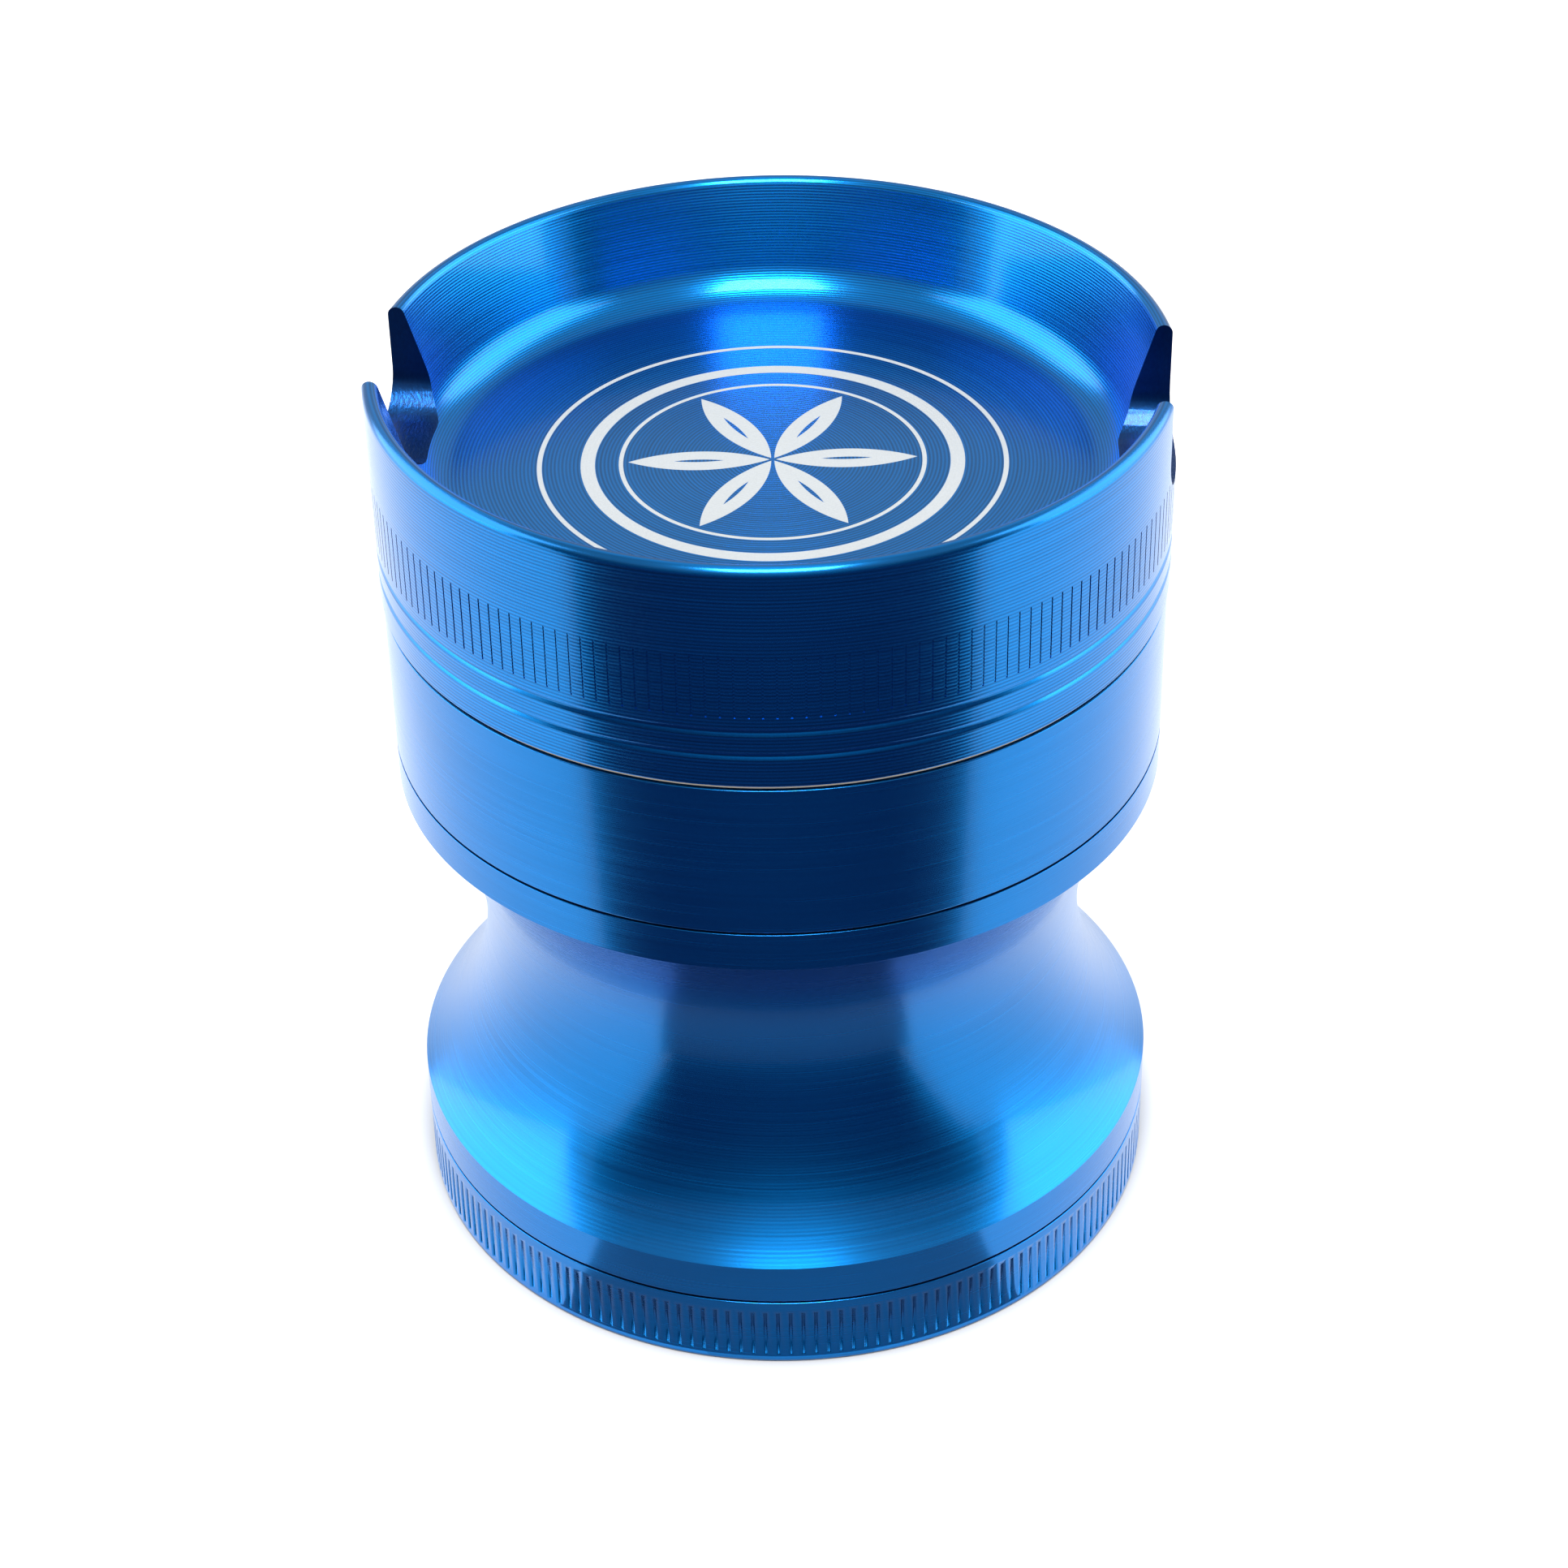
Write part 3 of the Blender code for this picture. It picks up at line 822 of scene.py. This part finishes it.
def anodised(name, tint, feed_pitch, groove_depth, painted_groove_shade=0.1, roughness=0.26, out=1.0):
    """Dyed oxide over turned aluminium; out says how much the radius counts in the tool's path."""
    finish = Finish(name)
    path = finish.z + finish.r * out
    streaks = finish.noise(finish.vector(finish.x * 0.035, finish.y * 0.035, path * 5.5), 1.0, 3.0)
    patches = finish.noise(finish.place, 0.06, 1.0)
    groove = (path * (2.0 * math.pi / feed_pitch)).wave() * 0.5 + 0.5
    deep = tuple(value * (0.82 - painted_groove_shade) for value in tint)
    bright = tuple(value * (1.18 + painted_groove_shade) for value in tint)
    # Painted shade of the grooves: their sine lightens the crests and darkens the troughs in the colour,
    # while the streaks and patches vary the tone at random.
    groove_shade_and_streaks = groove * painted_groove_shade + (streaks * 0.7 + patches * 0.3) * (1.0 - painted_groove_shade)
    finish.colour = finish.blend(groove_shade_and_streaks, (*deep, 1.0), (*bright, 1.0))
    height = groove * groove_depth + streaks * 0.0030
    finish.roughness = streaks * 0.10 + (roughness - 0.05)
    finish.set(Base_Color=finish.colour, Roughness=finish.roughness, Metallic=1.0,
               Normal=finish.bump(height), Anisotropic=0.7, Anisotropic_Rotation=0.25,
               Coat_Weight=COAT, Coat_Roughness=0.12)
    return finish


chamber_finish = anodised("chamber_anodised", BLUE, 0.19, 0.0015)
body_finish = anodised("body_anodised", BLUE, 0.21, 0.0018, out=0.25)
base_finish = anodised("base_anodised", BLUE, 0.23, 0.0012)
chamber_finish.give(chamber, chamber_teeth, chamber_thread)
body_finish.give(body, body_top_thread, body_foot_thread)
base_finish.give(base, base_thread)

# %% [markdown]
# ## The lid's grooves and engraving
#
# The lid is turned more coarsely, so that its grooves can be seen one by one. The bowl's floor
# carries pale laser marks: the beam burns the dye away and leaves a dull light grey. A maker
# would put a name there. Here a plain thick ring, two thin rings and a compass-drawn rosette fill
# the same place. The rosette is one petal, the overlap of two circles, folded six times round.

# %% Engrave the lid
MARK_BLUR, PETAL_INSET, HEART_DEPTH = 0.04, 0.12, 0.118

# The lid's grooves are painted into its colour much more strongly, as painted shade of their relief.
lid_finish = anodised("lid_anodised", BLUE, 0.30, 0.0080, painted_groove_shade=0.45, roughness=0.24)


def ring_mark(finish, inner, outer):
    """1 between two radii."""
    return finish.r.above(inner, MARK_BLUR) * (1.0 - finish.r.above(outer, MARK_BLUR))


def rosette(finish, reach):
    """1 inside six petals, each the overlap of two circles of this reach, but 0 in their hearts."""
    around = finish.node("ShaderNodeMath", {"operation": "ARCTAN2"}, {0: finish.y, 1: finish.x})
    sector = math.pi / 3.0
    folded = finish.node("ShaderNodeMath", {"operation": "WRAP"},
                         {0: around, 1: sector / 2.0, 2: -sector / 2.0}).size()
    along = finish.r * finish.node("ShaderNodeMath", {"operation": "COSINE"}, {0: folded})
    aside = finish.r * folded.wave()
    dx, dy = along - reach * math.cos(sector), aside + reach * math.sin(sector)
    depth = reach - (dx * dx + dy * dy).root()
    petal = depth.above(PETAL_INSET, MARK_BLUR)
    heart = depth.above(reach * HEART_DEPTH, MARK_BLUR)
    return petal * (1.0 - heart)


THICK_RING, OUTER_RING, INNER_RING, ROSETTE_R = (13.96, 15.10), (18.13, 18.53), (11.75, 12.1), 11.6
floor_only = 1.0 - lid_finish.z.above(BOWL_FLOOR + 0.03, 0.02)
marks = ring_mark(lid_finish, *THICK_RING) + ring_mark(lid_finish, *OUTER_RING)
marks = (marks + rosette(lid_finish, ROSETTE_R) + ring_mark(lid_finish, *INNER_RING)).least(1.0)
above_face = lid_finish.z.above(BOWL_FLOOR - 0.3, 0.02)
marks = marks * floor_only * above_face
grain = lid_finish.noise(lid_finish.place, 9.0, 2.0)
pale = lid_finish.blend(grain, (0.26, 0.275, 0.28, 1.0), (0.33, 0.345, 0.35, 1.0))
lid_finish.set(Base_Color=lid_finish.blend(marks, lid_finish.colour, pale),
               Metallic=1.0 - marks, Roughness=lid_finish.roughness + marks * 0.25,
               Coat_Weight=COAT - marks * COAT)
lid_finish.give(lid_teeth)

# %% [markdown]
# The milled faces of the rests are the other finish on the lid. The boolean has kept them apart,
# because its cutter carried a finish of its own. Their colour is painted darker, as painted shade
# for the dark that these cut faces reflect, and the end of the cutter has left chatter: short
# ridges across the rounded corner.

# %% Finish the milled faces
milled_painted_shade_finish = Finish("milled_anodised_painted_shade")
chatter = milled_painted_shade_finish.noise(milled_painted_shade_finish.vector(milled_painted_shade_finish.x * 5.0, milled_painted_shade_finish.y * 2.0,
                                                   milled_painted_shade_finish.z * 3.0), 1.0, 4.0)
low_band = 1.0 - milled_painted_shade_finish.z.above(REST_FLOOR + 1.6, 1.0)
# Painted shade: these two dark blues stand in for the dark that the cut faces reflect, and the chatter
# noise moves between them at random.
milled_painted_shade_finish.set(
    Base_Color=milled_painted_shade_finish.blend(chatter, (0.001, 0.030, 0.120, 1.0), (0.002, 0.050, 0.190, 1.0)),
    Metallic=1.0, Roughness=0.30, Coat_Weight=0.3, Coat_Roughness=0.2,
    Normal=milled_painted_shade_finish.bump(chatter * low_band * 0.05))
lid.data.materials[0] = lid_finish.material
lid.data.materials[1] = milled_painted_shade_finish.material

# %% [markdown]
# ## The small metals and the washer
#
# The screen and its retaining ring are bare stainless steel, the magnets are nickel plated, and
# the washer in the seam under the lid is natural nylon, slightly yellow and dull.

# %% Finish the small pieces
def plain(name, colour, roughness, metallic, grain, bump):
    """A turned piece's plain finish, with a fine grain that follows the turning."""
    finish = Finish(name)
    turned = finish.vector(finish.x * 0.3, finish.y * 0.3, (finish.z + finish.r) * 4.0)
    cloud = finish.noise(turned, grain, 3.0)
    dark = tuple(value * 0.85 for value in colour)
    finish.set(Base_Color=finish.blend(cloud, (*dark, 1.0), (*colour, 1.0)), Metallic=metallic,
               Roughness=cloud * 0.12 + (roughness - 0.06),
               Normal=finish.bump(cloud * bump))
    return finish


plain("stainless_wire", (0.58, 0.58, 0.59), 0.30, 1.0, 1.0, 0.002).give(screen, hem)
plain("turned_steel", (0.64, 0.64, 0.65), 0.25, 1.0, 1.5, 0.003).give(retainer)
plain("nickel_plate", (0.68, 0.66, 0.63), 0.16, 1.0, 0.5, 0.001).give(*magnets.values())
plain("natural_nylon", (0.34, 0.31, 0.27), 0.55, 0.0, 2.0, 0.004).give(washer)

# %% [markdown]
# ## Joining the moving bodies
#
# Each piece rides on the body of the CAD node that it stands for, so that it follows every joint.
# The CAD solid that it replaces is hidden.

# %% Ride on the bodies
stand_ins = {
    "ashtray_lid": (lid, lid_teeth),
    "grinding_chamber": (chamber, chamber_teeth, chamber_thread),
    "hourglass_body": (body, body_top_thread, body_foot_thread),
    "base": (base, base_thread),
    "screen": (screen, hem),
    "screen_retainer": (retainer,),
    "friction_ring": (washer,),
    "chamber_magnet": (magnets["chamber_magnet"],),
    "lid_magnet": (magnets["lid_magnet"],),
}
for node, pieces in stand_ins.items():
    for piece in pieces:
        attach(piece, node)
        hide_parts(node)

# %% [markdown]
# ## The studio
#
# Polished metal shows the room more than itself, so the room is built for it. The floor and the
# air around are white. Right round the base the floor's colour is painted grey, a painted shadow
# that deepens the thin contact shadow that seats a piece on its table.

# %% Lay the floor
MATT, FLOOR_SIZE, FLOOR_DROP = 0.9, 6.0, 0.02 * MM

deselect()
bpy.ops.mesh.primitive_plane_add(size=FLOOR_SIZE, location=(0.0, 0.0, -FLOOR_DROP))
floor = bpy.context.object
floor.name = "studio_floor"
floor_finish = Finish("white_floor")
# Painted shadow: the floor's colour goes from white to grey in a soft ring round the base.
painted_contact_shadow = 1.0 - floor_finish.r.above(BASE_R + 1.5, 3.0)
floor_and_painted_shadow = floor_finish.blend(painted_contact_shadow, (0.72, 0.72, 0.72, 1.0), (0.42, 0.42, 0.42, 1.0))
floor_finish.set(Base_Color=floor_and_painted_shadow, Roughness=MATT, Specular_IOR_Level=0.0)
floor_finish.give(floor)
print("floor finish:", floor_finish.material.name)

# %% [markdown]
# Cards give the metal its dark and light parts. A black one lies on the floor in front and
# another stands behind it, with a grey one above and a smaller grey one close to the base, and
# white ones lie left and right. Each is a sector of a ring, made like a turned piece but spun only
# part of the way. They only show in reflections, since cards are kept out of view in a studio.

# %% Set up the cards
def plain_surface(name, colour):
    """A matt material of one colour that doesn't shine."""
    material = bpy.data.materials.new(name)
    material.use_nodes = True
    shader = material.node_tree.nodes["Principled BSDF"]
    shader.inputs["Base Color"].default_value = (*colour, 1.0)
    shader.inputs["Roughness"].default_value = MATT
    shader.inputs["Specular IOR Level"].default_value = 0.0
    return material


BLACK, GREY, WHITE = (0.022, 0.027, 0.055), (0.18, 0.18, 0.20), (0.66, 0.66, 0.66)


def card(name, apex, near, far, low, high, facing, half_angle, colour):
    """A sector of card round a point at y = apex, between two radii and heights, in metres."""
    deselect()
    bpy.ops.mesh.primitive_plane_add(size=MM, location=(near, 0.0, low))
    piece = bpy.context.object
    piece.name = name
    bpy.ops.object.transform_apply(location=True)
    bpy.ops.object.mode_set(mode="EDIT")
    bpy.ops.mesh.select_mode(type="VERT")
    bpy.ops.mesh.select_all(action="SELECT")
    bpy.ops.mesh.merge(type="CENTER")
    bpy.ops.mesh.extrude_vertices_move(TRANSFORM_OT_translate={"value": (far - near, 0.0, high - low)})
    bpy.ops.mesh.select_all(action="SELECT")
    bpy.ops.mesh.spin(steps=48, angle=math.radians(2.0 * half_angle), center=(0.0, 0.0, 0.0),
                      axis=(0.0, 0.0, 1.0))
    bpy.ops.object.mode_set(mode="OBJECT")
    piece.rotation_euler.z = math.radians(facing - 90.0 + half_angle)
    piece.location.y = apex
    piece.data.materials.append(plain_surface(name, colour))
    for ray in ("camera", "diffuse", "shadow", "transmission", "volume_scatter"):
        setattr(piece, "visible_" + ray, False)
    return piece


APEX, FAR, LYING = -0.027, 0.60, 0.3 * MM

cards = [card("black_on_floor", APEX, 0.020, FAR, LYING, LYING, 0.0, 61.0, BLACK),
         card("grey_on_floor", 0.0, 0.030, 0.051, 2.0 * LYING, 2.0 * LYING, 0.0, 38.0, GREY),
         card("black_standing", APEX, FAR, FAR, LYING, 0.22, 0.0, 64.0, BLACK),
         card("grey_standing", APEX, FAR, FAR, 0.22, 0.42, 0.0, 60.0, GREY)]
for side, facing in (("left", -107.0), ("right", 107.0)):
    cards.append(card("white_" + side, APEX, 0.004, FAR, LYING, LYING, facing, 45.0, WHITE))
print("cards:", ", ".join(piece.name for piece in cards))

# %% [markdown]
# Two tall soft boxes stand left and right, and a third hangs high in front, which gives the bowl
# its bright patch. The air around is evenly white. The Standard view transform keeps the floor
# pure white and the blues as deep as they are set.

# %% Light the scene
def soft_box(name, azimuth, elevation, distance, width, height, power):
    """An area light aimed at the middle of the grinder; azimuth 0 is the front, positive to the right."""
    deselect()
    middle = Vector((0.0, 0.0, 0.04))
    turn_z = math.radians(azimuth - 90.0)
    rise = math.radians(elevation)
    away = Vector((math.cos(turn_z) * math.cos(rise), math.sin(turn_z) * math.cos(rise), math.sin(rise)))
    bpy.ops.object.light_add(type="AREA", location=middle + away * distance,
                             rotation=away.to_track_quat("Z", "Y").to_euler())
    light = bpy.context.object
    light.name = name
    light.data.shape = "RECTANGLE"
    light.data.size, light.data.size_y = width, height
    light.data.energy = power
    light.visible_camera = False
    return light


lights = [soft_box("left_box", -100.0, 25.0, 0.7, 0.8, 0.7, 6.2),
          soft_box("right_box", 100.0, 25.0, 0.7, 0.8, 0.7, 6.2),
          soft_box("front_top_box", 0.0, 65.0, 0.8, 0.30, 0.40, 8.5)]
world = bpy.data.worlds.new("white_room")
bpy.context.scene.world = world
world.use_nodes = True
world.node_tree.nodes["Background"].inputs["Color"].default_value = (1.0, 1.0, 1.0, 1.0)
world.node_tree.nodes["Background"].inputs["Strength"].default_value = 0.80
bpy.context.scene.view_settings.view_transform = "Standard"
print("lights:", ", ".join(light.name for light in lights))
